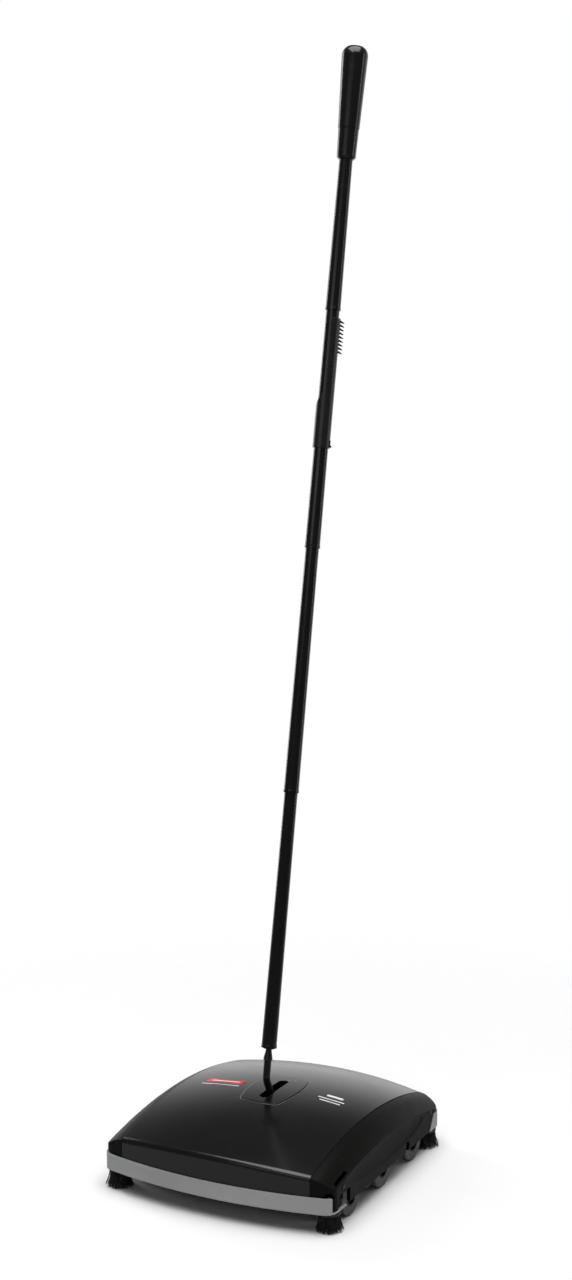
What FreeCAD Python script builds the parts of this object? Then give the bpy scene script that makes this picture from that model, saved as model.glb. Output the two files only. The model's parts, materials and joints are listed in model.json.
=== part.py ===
import FreeCAD, Part
import math
import os

import Sketcher

# Mechanical carpet sweeper.  Millimetres.  Origin on the floor under the middle of the
# head; +X to the sweeper's right, +Y to the rear, +Z up.  The handle leans to the rear.

os.makedirs("parts", exist_ok=True)
doc = FreeCAD.newDocument("carpet_sweeper")
sheet = doc.addObject("Spreadsheet::Sheet", "sizes")

X_AXIS = FreeCAD.Vector(1, 0, 0)
Y_AXIS = FreeCAD.Vector(0, 1, 0)
Z_AXIS = FreeCAD.Vector(0, 0, 1)


class Size:
    """A length or angle that carries its number and its spreadsheet expression."""

    def __init__(self, value, text):
        self.value = float(value)
        self.text = text

    def __add__(self, other):
        other = as_size(other)
        return Size(self.value + other.value, f"({self.text} + {other.text})")

    def __sub__(self, other):
        other = as_size(other)
        return Size(self.value - other.value, f"({self.text} - {other.text})")

    def __mul__(self, other):
        other = as_size(other)
        return Size(self.value * other.value, f"({self.text} * {other.text})")

    def __truediv__(self, other):
        other = as_size(other)
        return Size(self.value / other.value, f"({self.text} / {other.text})")

    def __radd__(self, other):
        return as_size(other) + self

    def __rsub__(self, other):
        return as_size(other) - self

    def __rmul__(self, other):
        return as_size(other) * self

    def __neg__(self):
        return as_size(0) - self


def as_size(number):
    """A plain number as a Size; a Size stays as it is."""
    if isinstance(number, Size):
        return number
    return Size(number, f"{float(number):.6f}")


def root(size):
    return Size(math.sqrt(size.value), f"sqrt({size.text})")


def sine(angle):
    return Size(math.sin(math.radians(angle.value)), f"sin({angle.text} * 1 deg)")


def cosine(angle):
    return Size(math.cos(math.radians(angle.value)), f"cos({angle.text} * 1 deg)")


def arc_radius(half_chord, drop):
    """Radius of the arc that falls by drop from its middle to each end of its chord."""
    return (half_chord * half_chord + drop * drop) / (drop * 2)


class Sizes:
    """The spreadsheet's driving dimensions as attributes."""

    def __init__(self, table):
        for row, (alias, value) in enumerate(table, start=1):
            sheet.set(f"A{row}", alias)
            sheet.set(f"B{row}", str(value))
            sheet.setAlias(f"B{row}", alias)
            setattr(self, alias, Size(value, f"sizes.{alias}"))


dim = Sizes([
    # head outline in plan
    ("head_width", 254.0),
    ("head_depth", 289.2),
    ("end_bow", 16.74),
    ("corner_radius", 14.0),
    # bumper strips
    ("bumper_low", 21.0),
    ("bumper_high", 37.0),
    ("bumper_thick", 2.6),
    ("bumper_gap", 0.2),
    ("bumper_short_reach", 19.6),
    ("bumper_long_reach", 42.6),
    ("bumper_slant", 10.0),
    ("bumper_lip", 1.4),
    # top cover
    ("cap_width", 24.0),
    ("cover_height", 82.0),
    ("cover_low", 24.0),
    ("cover_screw_inset", 18.0),
    ("cover_screw_middle", 40.0),
    ("crown_drop", 9.07),
    ("arch_drop", 26.79),
    ("apex_forward", 9.0),
    ("shell_wall", 2.0),
    ("crease_radius", 6.0),
    # end caps
    ("flank_inset", 1.0),
    ("flank_wall", 3.4),
    ("flank_low", 21.0),
    ("seam_gap", 0.25),
    ("seam_step", 0.8),
    ("cap_edge_drop", 25.5),
    ("cap_edge_arch_drop", 23.66),
    ("scoop_depth", 2.2),
    ("scoop_end_inset", 51.6),
    ("scoop_half_height", 12.5),
    ("vent_radius", 5.2),
    ("vent_back", 45.8),
    ("vent_height", 25.7),
    ("notch_radius", 5.0),
    ("notch_inset_x", 7.0),
    ("notch_inset_y", 19.6),
    ("cap_screw_inset_x", 15.6),
    ("cap_screw_inset_y", 22.0),
    # base frame
    ("frame_wall", 2.5),
    ("frame_inset", 22.5),
    ("frame_low", 22.5),
    ("lug_low", 13.0),
    ("deck_drop", 17.6),
    ("deck_thick", 2.2),
    ("deck_half_depth", 34.0),
    ("deck_window_half", 24.0),
    ("pod_low", 27.0),
    ("pod_thick", 4.0),
    ("pod_inset_x", 6.6),
    ("pod_inset_y", 16.1),
    ("pod_depth", 24.5),
    ("screw_radius", 1.5),
    ("cap_post_radius", 3.4),
    ("cover_boss_radius", 4.0),
    ("screw_hole_radius", 1.7),
    # wheels
    ("wheel_radius", 20.0),
    ("wheel_pitch", 74.0),
    ("wheel_width", 9.0),
    ("wheel_inset", 15.6),
    ("tyre_inner_radius", 10.4),
    ("axle_radius", 2.5),
    ("fit_gap", 0.06),
    ("press_gap", 0.02),
    # rotors
    ("rotor_height", 32.0),
    ("rotor_tip_gap", 0.8),
    ("rotor_core_radius", 9.5),
    ("rotor_end_gap", 8.0),
    ("shaft_radius", 3.0),
    ("bristle_strip", 5.0),
    ("blade_strip", 2.4),
    ("strip_root_radius", 5.6),
    ("friction_gap", 0.3),
    # dust pans
    ("pan_pivot_inset", 40.6),
    ("pan_pivot_height", 41.3),
    ("pan_radius", 24.6),
    ("pan_wall", 1.6),
    ("pan_end_gap", 4.0),
    ("pan_lip_gap", 29.0),
    ("pan_lip_drop", 32.3),
    ("pan_pin_radius", 2.2),
    ("window_width", 26.0),
    ("window_high", 36.0),
    ("lever_reach", 13.0),
    # corner brushes
    ("corner_inset_x", 11.0),
    ("corner_inset_y", 30.6),
    ("corner_pin_radius", 2.0),
    ("corner_disc_radius", 11.0),
    ("corner_tip_radius", 13.0),
    ("corner_disc_low", 16.8),
    ("corner_disc_high", 19.6),
    # handle
    ("pivot_back", 3.2),
    ("pivot_drop", 28.0),
    ("pivot_pin_radius", 2.5),
    ("cheek_inside", 9.0),
    ("cheek_thick", 3.0),
    ("cheek_radius", 7.0),
    ("handle_lean", 11.0),
    ("rod_forward", 28.4),
    ("rod_knee", 50.5),
    ("rod_radius", 3.7),
    ("rod_bend", 14.0),
    ("rod_neck_radius", 2.5),
    ("ferrule_start", 19.5),
    ("ferrule_length", 10.6),
    ("tube_start", 32.2),
    ("tube_one", 256.9),
    ("tube_two", 245.6),
    ("tube_three", 238.7),
    ("tube_four", 151.3),
    ("tube_radius", 7.6),
    ("tube_top_radius", 6.75),
    ("tube_wall", 0.8),
    ("tube_overlap", 25.0),
    ("grip_length", 113.7),
    ("grip_radius", 13.3),
    ("grip_waist_radius", 10.85),
    ("grip_foot_radius", 9.6),
    ("grip_collar", 31.0),
    ("grip_dome", 10.0),
    # slot plates
    ("slot_width", 10.2),
    ("slot_front", 30.0),
    ("slot_rear", 23.0),
    ("plate_thick", 0.9),
    ("plate_half_width", 19.5),
    ("plate_front", 40.0),
    ("plate_rear", 38.0),
    ("plate_side_radius", 117.0),
    # cleaning comb
    ("comb_length", 130.0),
    ("comb_sleeve", 41.0),
    ("comb_wall", 0.8),
    ("comb_gap", 0.2),
    ("comb_sweep_height", 11.0),
    ("comb_sweep_radius", 18.0),
    ("comb_drop", 8.0),
    ("comb_turn", 27.0),
    ("comb_tooth_pitch", 3.8),
])
doc.recompute()

RIB_COUNT = 22
TOOTH_COUNT = 9
STRIP_COUNT = 4
SIDES = {"right": 1, "left": -1}
ENDS = {"front": -1, "rear": 1}
PARTS = []

# values that follow from the driving dimensions
half_width = dim.head_width / 2
half_depth = dim.head_depth / 2
cover_half = half_width - dim.cap_width
cover_inset = dim.bumper_thick + dim.bumper_gap
flank = half_width - dim.flank_inset
flank_inside = flank - dim.flank_wall
apex = -dim.apex_forward
arch_reach = half_depth + dim.apex_forward
end_curve_radius = arc_radius(half_width, dim.end_bow)
crown_radius = arc_radius(cover_half, dim.crown_drop)
arch_radius = arc_radius(arch_reach, dim.arch_drop)
cap_edge_radius = arc_radius(arch_reach, dim.cap_edge_arch_drop)
arch_axis_height = dim.cover_height - arch_radius
wall_inside = half_width - dim.frame_inset
wall_outside = wall_inside + dim.frame_wall
deck_low = dim.cover_height - dim.deck_drop
deck_high = deck_low + dim.deck_thick
pivot_height = dim.cover_height - dim.pivot_drop
cap_edge_height = dim.cover_height - dim.cap_edge_drop
above_cover = dim.cover_height + 13
rotor_back = dim.wheel_pitch / 2
rotor_rise = dim.rotor_height - dim.wheel_radius
rotor_tip_radius = dim.rotor_height - dim.rotor_tip_gap
rotor_half_length = wall_inside - dim.rotor_end_gap
rotor_to_wheel = root(rotor_back * rotor_back + rotor_rise * rotor_rise)
pulley_radius = rotor_to_wheel - dim.wheel_radius - dim.friction_gap
wheel_inside = half_width - dim.wheel_inset
wheel_outside = wheel_inside + dim.wheel_width
pod_high = dim.pod_low + dim.pod_thick
pod_far_x = half_width - dim.pod_inset_x
pod_far_y = half_depth - dim.pod_inset_y
bumper_short_end = half_depth - dim.bumper_short_reach
bumper_long_end = half_depth - dim.bumper_long_reach
pan_pivot_back = half_depth - dim.pan_pivot_inset
pan_half_width = wall_inside - dim.pan_end_gap
pan_lip_back = rotor_back + dim.pan_lip_gap
corner_x = half_width - dim.corner_inset_x
corner_y = half_depth - dim.corner_inset_y
comb_bore_radius = dim.tube_radius + dim.comb_gap
comb_radius = comb_bore_radius + dim.comb_wall


def bind(obj, sizes):
    """Bind each named property of an object to its spreadsheet expression."""
    for name, size in sizes.items():
        obj.setExpression(name, as_size(size).text)
    return obj


def moved(obj, x=0, y=0, z=0):
    """Place an object, with each coordinate bound to the spreadsheet."""
    return bind(obj, {"Placement.Base.x": x, "Placement.Base.y": y, "Placement.Base.z": z})


def box(name, x, y, z):
    """A box from the low to the high value of each pair."""
    obj = doc.addObject("Part::Box", name)
    bind(obj, {"Length": x[1] - x[0], "Width": y[1] - y[0], "Height": z[1] - z[0]})
    return moved(obj, x[0], y[0], z[0])


def cylinder(name, axis, radius, centre, low, high):
    """A cylinder along X, Y or Z, centred on the two other coordinates."""
    obj = doc.addObject("Part::Cylinder", name)
    bind(obj, {"Radius": radius, "Height": as_size(high) - as_size(low)})
    return along(obj, axis, centre, low)


def cone(name, axis, radii, centre, low, high):
    obj = doc.addObject("Part::Cone", name)
    bind(obj, {"Radius1": radii[0], "Radius2": radii[1], "Height": as_size(high) - as_size(low)})
    return along(obj, axis, centre, low)


def along(obj, axis, centre, low):
    """Turn an object's own Z to an axis and start it at low on that axis."""
    if axis == "x":
        obj.Placement.Rotation = FreeCAD.Rotation(Y_AXIS, 90)
        return moved(obj, low, centre[0], centre[1])
    if axis == "y":
        obj.Placement.Rotation = FreeCAD.Rotation(X_AXIS, -90)
        return moved(obj, centre[0], low, centre[1])
    return moved(obj, centre[0], centre[1], low)


def fuse(name, shapes):
    obj = doc.addObject("Part::MultiFuse", name)
    obj.Shapes = shapes
    return obj


def common(name, shapes):
    obj = doc.addObject("Part::MultiCommon", name)
    obj.Shapes = shapes
    return obj


def cut(name, base, tools):
    """The base with every tool taken away."""
    obj = doc.addObject("Part::Cut", name)
    obj.Base = base
    obj.Tool = tools[0] if len(tools) == 1 else fuse(f"{name}_tools", tools)
    return obj


def part(name, obj):
    """Mark an object as a sub-part that is written under this name."""
    obj.Label = name
    PARTS.append(obj)
    return obj


def outline(sketch, corners):
    """Draw a closed outline and bind each corner and arc radius to the spreadsheet.

    A corner is (x, y), or (x, y, radius, side) where an arc leads to the next corner;
    side is 1 when the arc bulges to the right of the way round and -1 to the left.
    """
    points = [FreeCAD.Vector(as_size(c[0]).value, as_size(c[1]).value, 0) for c in corners]
    starts = []
    ends = []
    for index, corner in enumerate(corners):
        start = points[index]
        end = points[(index + 1) % len(points)]
        if len(corner) == 2:
            geometry = sketch.addGeometry(Part.LineSegment(start, end), False)
            starts.append((geometry, 1))
            ends.append((geometry, 2))
            continue
        radius = as_size(corner[2])
        chord = end - start
        sagitta = radius.value - math.sqrt(radius.value ** 2 - chord.Length ** 2 / 4)
        normal = FreeCAD.Vector(chord.y, -chord.x, 0).normalize() * corner[3]
        middle = (start + end) * 0.5 + normal * sagitta
        geometry = sketch.addGeometry(Part.Arc(start, middle, end), False)
        forward = sketch.getPoint(geometry, 1).distanceToPoint(start) < 1e-6
        starts.append((geometry, 1 if forward else 2))
        ends.append((geometry, 2 if forward else 1))
        added = sketch.addConstraint(Sketcher.Constraint("Radius", geometry, radius.value))
        sketch.setExpression(f"Constraints[{added}]", radius.text)
    for index, corner in enumerate(corners):
        geometry, end = starts[index]
        before, before_end = ends[index - 1]
        sketch.addConstraint(Sketcher.Constraint("Coincident", before, before_end, geometry, end))
        for kind, size in (("DistanceX", as_size(corner[0])), ("DistanceY", as_size(corner[1]))):
            added = sketch.addConstraint(Sketcher.Constraint(kind, -1, 1, geometry, end, size.value))
            sketch.setExpression(f"Constraints[{added}]", size.text)
    return sketch


def flat_sketch(name, plane, corners, offset=0):
    """A free sketch on the XY, XZ or YZ plane, moved along that plane's normal."""
    sketch = doc.addObject("Sketcher::SketchObject", name)
    if plane == "xz":
        sketch.Placement.Rotation = FreeCAD.Rotation(X_AXIS, 90)
        moved(sketch, y=offset)
    if plane == "yz":
        sketch.Placement.Rotation = FreeCAD.Rotation(0.5, 0.5, 0.5, 0.5)
        moved(sketch, x=offset)
    if plane == "xy":
        moved(sketch, z=offset)
    return outline(sketch, corners)


def extruded(name, sketch, direction, length):
    obj = doc.addObject("Part::Extrusion", name)
    obj.Base = sketch
    obj.DirMode = "Custom"
    obj.Dir = direction
    obj.Solid = True
    return bind(obj, {"LengthFwd": length})


def body_sketch(body, name, role, corners):
    """A sketch on one of the body's own origin planes."""
    sketch = body.newObject("Sketcher::SketchObject", name)
    plane = next(item for item in body.Origin.OriginFeatures if item.Role == role)
    sketch.AttachmentSupport = (plane, [""])
    sketch.MapMode = "FlatFace"
    doc.recompute()
    return outline(sketch, corners)


def turned(name, corners, axis="z", centre=(0, 0), start=0, flip=False):
    """A PartDesign body turned about an axis; corners are (radius, distance along)."""
    body = doc.addObject("PartDesign::Body", name)
    sketch = body_sketch(body, f"{name}_profile", "XZ_Plane", corners)
    revolution = body.newObject("PartDesign::Revolution", f"{name}_turn")
    revolution.Profile = sketch
    revolution.ReferenceAxis = (sketch, ["V_Axis"])
    revolution.Angle = 360
    sketch.Visibility = False
    along(body, axis, centre, start)
    if flip:
        body.Placement.Rotation = body.Placement.Rotation * FreeCAD.Rotation(X_AXIS, 180)
    return body


def padded(name, role, corners, length, midplane=False):
    """A PartDesign body padded from one outline."""
    body = doc.addObject("PartDesign::Body", name)
    sketch = body_sketch(body, f"{name}_profile", role, corners)
    pad = body.newObject("PartDesign::Pad", f"{name}_pad")
    pad.Profile = sketch
    pad.Midplane = midplane
    bind(pad, {"Length": length})
    sketch.Visibility = False
    return body


def on_handle(obj):
    """Place a piece drawn in the handle's own frame: knee at the origin, axis along Z."""
    obj.Placement.Rotation = FreeCAD.Rotation(X_AXIS, dim.handle_lean.value)
    obj.setExpression("Placement.Rotation.Angle", f"-{dim.handle_lean.text} * 1 deg")
    return moved(obj, 0, knee_back, knee_height)


knee_back = dim.pivot_back - dim.rod_knee * sine(dim.rod_forward)
knee_height = pivot_height + dim.rod_knee * cosine(dim.rod_forward)


# ---------------------------------------------------------------- outer shape of the head

def plan_block(name, half_x, inset, low, high):
    """A block with the head's plan: straight sides, bowed front and rear, round corners."""
    centre_back = half_depth - end_curve_radius
    radius = end_curve_radius - inset
    edge_back = centre_back + root(radius * radius - half_x * half_x)
    sketch = flat_sketch(f"{name}_plan", "xy", [
        (-half_x, -edge_back, radius, 1),
        (half_x, -edge_back),
        (half_x, edge_back, radius, 1),
        (-half_x, edge_back),
    ], low)
    block = extruded(f"{name}_block", sketch, Z_AXIS, as_size(high) - as_size(low))
    doc.recompute()
    rounded = doc.addObject("Part::Fillet", name)
    rounded.Base = block
    corner = max(dim.corner_radius.value - as_size(inset).value, 2.0)
    rounded.Edges = [
        (number, corner, corner)
        for number, edge in enumerate(block.Shape.Edges, start=1)
        if edge.Vertexes[0].Point.sub(edge.Vertexes[1].Point).cross(Z_AXIS).Length < 1e-6
    ]
    return rounded


def crown_solid(name, half_x, rise):
    """The solid under the cover's double curve, raised or lowered by rise."""
    radius = crown_radius + rise
    edge = dim.cover_height - crown_radius + root(radius * radius - half_x * half_x)
    section = flat_sketch(f"{name}_section", "xz", [
        (-half_x, 0),
        (half_x, 0),
        (half_x, edge, radius, 1),
        (-half_x, edge),
    ], apex)
    obj = doc.addObject("Part::Revolution", name)
    obj.Source = section
    obj.Axis = X_AXIS
    obj.Angle = 42
    obj.Symmetric = True
    obj.Solid = True
    return bind(obj, {"Base.y": apex, "Base.z": arch_axis_height})


def cap_top(x):
    """Height of an end cap's top over its apex, from the seam out to the flank edge."""
    part_way = (x - cover_half) / (flank - cover_half)
    seam_height = (dim.cover_height - crown_radius - dim.seam_step
                   + root(crown_radius * crown_radius - cover_half * cover_half))
    drop = seam_height - cap_edge_height
    return seam_height - drop * (part_way * 0.35 + part_way * part_way * 0.65)


def cap_mass(name, inner, outer, lowered, low):
    """A loft through arched sections from the seam side to the flank side of the right end cap."""
    sections = []
    reach = half_depth + 5
    for number in range(4):
        x = inner + (outer - inner) * (number / 3)
        part_way = (x - cover_half) / (flank - cover_half)
        radius = arch_radius + (cap_edge_radius - arch_radius) * part_way
        centre = cap_top(x) - lowered - radius
        front = centre + root(radius * radius - (reach + apex) * (reach + apex))
        rear = centre + root(radius * radius - (reach - apex) * (reach - apex))
        sections.append(flat_sketch(f"{name}_section_{number}", "yz", [
            (-reach, low),
            (reach, low),
            (reach, rear, radius, 1),
            (-reach, front),
        ], x))
    loft = doc.addObject("Part::Loft", name)
    loft.Sections = sections
    loft.Solid = True
    loft.Ruled = False
    return loft


def make_cover():
    """Thin glossy top cover with screw bosses and the opening for the handle rod."""
    outer_crown = crown_solid("cover_outer_crown", cover_half, 0)
    outer_plan = plan_block("cover_outer_plan", half_width, cover_inset, dim.cover_low,
                             above_cover)
    outer = common("cover_outer", [outer_crown, outer_plan])
    doc.recompute()
    crease = doc.addObject("Part::Fillet", "cover_creased")
    crease.Base = outer
    radius = dim.crease_radius.value
    crease.Edges = [
        (number, radius, radius)
        for number, edge in enumerate(outer.Shape.Edges, start=1)
        if edge.BoundBox.XLength > cover_half.value and edge.BoundBox.ZMin > dim.bumper_high.value
    ]
    inner_crown = crown_solid("cover_inner_crown", cover_half + 5, -dim.shell_wall)
    inner_plan = plan_block("cover_inner_plan", half_width, cover_inset + dim.shell_wall,
                            dim.cover_low - 5, above_cover)
    inner = common("cover_inner", [inner_crown, inner_plan])
    shell = cut("cover_shell", crease, [inner])
    half_slot = dim.slot_width / 2 + 2
    opening = box("cover_slot", (-half_slot, half_slot),
                  (-dim.slot_front - 3, dim.slot_rear + 3), (deck_low, above_cover))
    bosses = [
        cylinder(f"cover_boss_{number}", "z", dim.cover_boss_radius, (x, 0), deck_high, above_cover)
        for number, x in enumerate(cover_screw_places())
    ]
    pilots = [
        cylinder(f"cover_pilot_{number}", "z", dim.screw_radius + dim.press_gap, (x, 0), deck_high - 1,
                 deck_high + 6)
        for number, x in enumerate(cover_screw_places())
    ]
    inside = common("cover_bosses", [
        fuse("cover_boss_posts", bosses),
        crown_solid("cover_boss_limit", cover_half, dim.shell_wall * -0.5),
    ])
    whole = fuse("cover_with_bosses", [shell, inside])
    return part("top_cover", cut("cover_body", whole, [opening] + pilots))


def cover_screw_places():
    """Where the four upright screws hold the cover to the deck, along X."""
    outer = cover_half - dim.cover_screw_inset
    return [-outer, -dim.cover_screw_middle, dim.cover_screw_middle, outer]


def cap_screw_places():
    """Where the upright screws hold each corner of the end caps to the pods."""
    across = half_width - dim.cap_screw_inset_x
    back = half_depth - dim.cap_screw_inset_y
    return [(across * side, back * end) for side in SIDES.values() for end in ENDS.values()]


def bumper_region(name, sense, spare):
    """The part of the outline that one bumper covers; sense is 1 at the rear, -1 in front."""
    low = dim.bumper_low - spare
    high = dim.bumper_high + spare
    far = half_depth + 10
    long_end = bumper_long_end - spare
    slanted = flat_sketch(f"{name}_slant", "yz", [
        (sense * long_end, low),
        (sense * (long_end + dim.bumper_slant), high),
        (sense * far, high),
        (sense * far, low),
    ])
    long_side = extruded(f"{name}_long", slanted, X_AXIS * sense, half_width + 5)
    short = sorted((-sense * (half_width + 5), as_size(0)), key=lambda size: size.value)
    back = sorted((sense * (bumper_short_end - spare), sense * far), key=lambda s: s.value)
    short_side = box(f"{name}_short", short, back, (low, high))
    return [long_side, short_side]


def make_bumper(name, sense):
    """Soft strip round one end of the head, long on one flank and short on the other."""
    outer = plan_block(f"{name}_outer", half_width, 0, dim.bumper_low, dim.bumper_high)
    inner = plan_block(f"{name}_inner", half_width - dim.bumper_thick, dim.bumper_thick,
                       dim.bumper_low - 2, dim.bumper_high + 2)
    ring = cut(f"{name}_ring", outer, [inner])
    lip_ends = sorted((sense * (bumper_short_end + 1), sense * (bumper_long_end - 3)),
                      key=lambda size: size.value)
    lip_sides = sorted((-sense * (half_width + 5), -sense * (half_width - 20)),
                       key=lambda size: size.value)
    lip = box(f"{name}_lip", lip_sides, lip_ends,
              (dim.bumper_low, dim.bumper_low + dim.bumper_lip))
    region = fuse(f"{name}_region", bumper_region(name, sense, 0) + [lip])
    return part(name, common(f"{name}_strip", [ring, region]))


def bumper_seat(name):
    """The space that both bumpers and their clearance take out of an end cap."""
    spare = dim.bumper_gap
    outer = plan_block(f"{name}_outer", half_width + 4, -4, dim.bumper_low - spare,
                       dim.bumper_high + spare)
    inset = cover_inset + spare
    inner = plan_block(f"{name}_inner", half_width - inset, inset, dim.bumper_low - 5,
                       dim.bumper_high + 5)
    ring = cut(f"{name}_ring", outer, [inner])
    lips = []
    for sense in ENDS.values():
        lip_y = sorted((sense * (bumper_short_end + 1), sense * (bumper_long_end - 3.3)),
                       key=lambda size: size.value)
        lip_x = sorted((-sense * (half_width + 9), -sense * (half_width - 20)),
                       key=lambda size: size.value)
        lips.append(box(f"{name}_lip_{sense + 1}", lip_x, lip_y,
                        (dim.bumper_low - spare, dim.bumper_low + dim.bumper_lip + spare)))
    regions = []
    for end, sense in ENDS.items():
        regions += bumper_region(f"{name}_{end}", sense, spare)
    return common(name, [ring, fuse(f"{name}_regions", regions + lips)])


def make_cap_blank():
    """Right end cap before its openings: arched shell with two drilled screw posts."""
    plan_outer = plan_block("cap_plan_outer", flank, cover_inset, dim.flank_low, above_cover)
    mass = cap_mass("cap_mass", cover_half + dim.seam_gap, flank + 2, as_size(0), dim.flank_low - 3)
    outer = common("cap_outer", [mass, plan_outer])
    plan_inner = plan_block("cap_plan_inner", flank_inside, cover_inset + dim.shell_wall,
                            dim.flank_low - 5, above_cover)
    hollow_mass = cap_mass("cap_hollow_mass", cover_half - 4, flank_inside + 2,
                           dim.shell_wall * 1.3, dim.flank_low - 8)
    hollow = common("cap_hollow", [hollow_mass, plan_inner])
    shell = cut("cap_shell", outer, [hollow])

    posts = []
    pilots = []
    for x, y in cap_screw_places():
        if x.value > 0:
            tag = "front" if y.value < 0 else "rear"
            posts.append(cylinder(f"cap_post_{tag}", "z", dim.cap_post_radius, (x, y), pod_high,
                                  above_cover))
            pilots.append(cylinder(f"cap_pilot_{tag}", "z", dim.screw_radius + dim.press_gap, (x, y),
                                   pod_high - 1, pod_high + 9))
    posts_inside = common("cap_posts", [
        fuse("cap_post_pair", posts),
        cap_mass("cap_post_limit", cover_half + dim.seam_gap, flank, as_size(1.2),
                 dim.flank_low - 3),
        plan_block("cap_post_plan", flank, cover_inset + 1, dim.flank_low, above_cover),
    ])
    return cut("cap_blank", fuse("cap_whole", [shell, posts_inside]), pilots)


def make_end_cap(name, side, blank):
    """Satin end cap cut from its blank: scooped flank, lever window, vent hole and corner notch."""
    scoop = doc.addObject("Part::Ellipsoid", f"{name}_scoop")
    scoop.Angle1 = -90
    scoop.Angle2 = 90
    bind(scoop, {"Radius1": dim.scoop_half_height, "Radius2": dim.scoop_depth,
                 "Radius3": half_depth - dim.scoop_end_inset})
    scoop.Placement.Rotation = FreeCAD.Rotation(Z_AXIS, 90 - 90 * side)
    moved(scoop, side * flank, 1 + apex, cap_edge_height - 1.5 - dim.scoop_half_height)

    inward = sorted((side * (flank_inside - 2), side * (flank + 2)), key=lambda s: s.value)
    vent = cylinder(f"{name}_vent", "x", dim.vent_radius,
                    (side * dim.vent_back, dim.vent_height), inward[0], inward[1])
    lever_y = -side * pan_pivot_back
    lever_centre = lever_y + side * 2
    window = box(f"{name}_window", inward,
                 (lever_centre - dim.window_width / 2, lever_centre + dim.window_width / 2),
                 (dim.flank_low - 5, dim.window_high))
    pocket_ends = sorted((side * (flank_inside - 1), side * (flank_inside + 2)), key=lambda s: s.value)
    pocket = cylinder(f"{name}_lever_pocket", "x", dim.lever_reach + 2,
                      (lever_y, dim.pan_pivot_height), pocket_ends[0], pocket_ends[1])
    pin_holes = [
        cylinder(f"{name}_pin_hole_{end}", "x", dim.pan_pin_radius + 0.3,
                 (sense * pan_pivot_back, dim.pan_pivot_height), inward[0], inward[1])
        for end, sense in ENDS.items()
    ]
    notch = doc.addObject("Part::Cylinder", f"{name}_notch")
    bind(notch, {"Radius": dim.notch_radius, "Height": 12})
    notch.Placement.Rotation = FreeCAD.Rotation(Z_AXIS, FreeCAD.Vector(0.55 * side, -0.84 * side, 0))
    moved(notch, side * (half_width - dim.notch_inset_x - 2.5),
          -side * (half_depth - dim.notch_inset_y - 4), dim.bumper_high)
    tools = [scoop, vent, window, pocket, notch, bumper_seat(f"{name}_seat")]
    return part(name, cut(f"{name}_body", blank, tools + pin_holes))


def make_end_caps():
    """Right end cap and its left partner, whose blank is the mirror image of the right one."""
    blank = make_cap_blank()
    mirrored = doc.addObject("Part::Mirroring", "cap_blank_mirrored")
    mirrored.Source = blank
    mirrored.Normal = X_AXIS
    make_end_cap("right_end_cap", 1, blank)
    make_end_cap("left_end_cap", -1, mirrored)


def make_slot_plates():
    """Two half plates that frame the handle slot on top of the cover."""
    slab = cut("plate_slab", crown_solid("plate_over", cover_half, dim.plate_thick),
               [crown_solid("plate_under", cover_half + 2, 0.05)])
    for name, side in SIDES.items():
        split = side * 0.12
        slot_edge = side * dim.slot_width / 2
        edge = side * dim.plate_half_width
        corners = [
            (split, -dim.plate_front),
            (edge, 2 - dim.plate_front, dim.plate_side_radius, side),
            (edge, dim.plate_rear - 2),
            (split, dim.plate_rear),
            (split, dim.slot_rear),
            (slot_edge, dim.slot_rear - 3),
            (slot_edge, 3 - dim.slot_front),
            (split, -dim.slot_front),
        ]
        sketch = flat_sketch(f"plate_{name}_plan", "xy", corners, deck_low)
        prism = extruded(f"plate_{name}_prism", sketch, Z_AXIS, above_cover - deck_low)
        doc.recompute()
        rounded = doc.addObject("Part::Fillet", f"plate_{name}_rounded")
        rounded.Base = prism
        rounded.Edges = [
            (number, 4.0, 4.0)
            for number, solid_edge in enumerate(prism.Shape.Edges, start=1)
            if solid_edge.BoundBox.ZLength > dim.deck_drop.value
            and abs(solid_edge.BoundBox.XMin - edge.value) < 0.01
        ]
        part(f"slot_plate_{name}", common(f"plate_{name}_body", [slab, rounded]))


# ---------------------------------------------------------------- base frame

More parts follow.
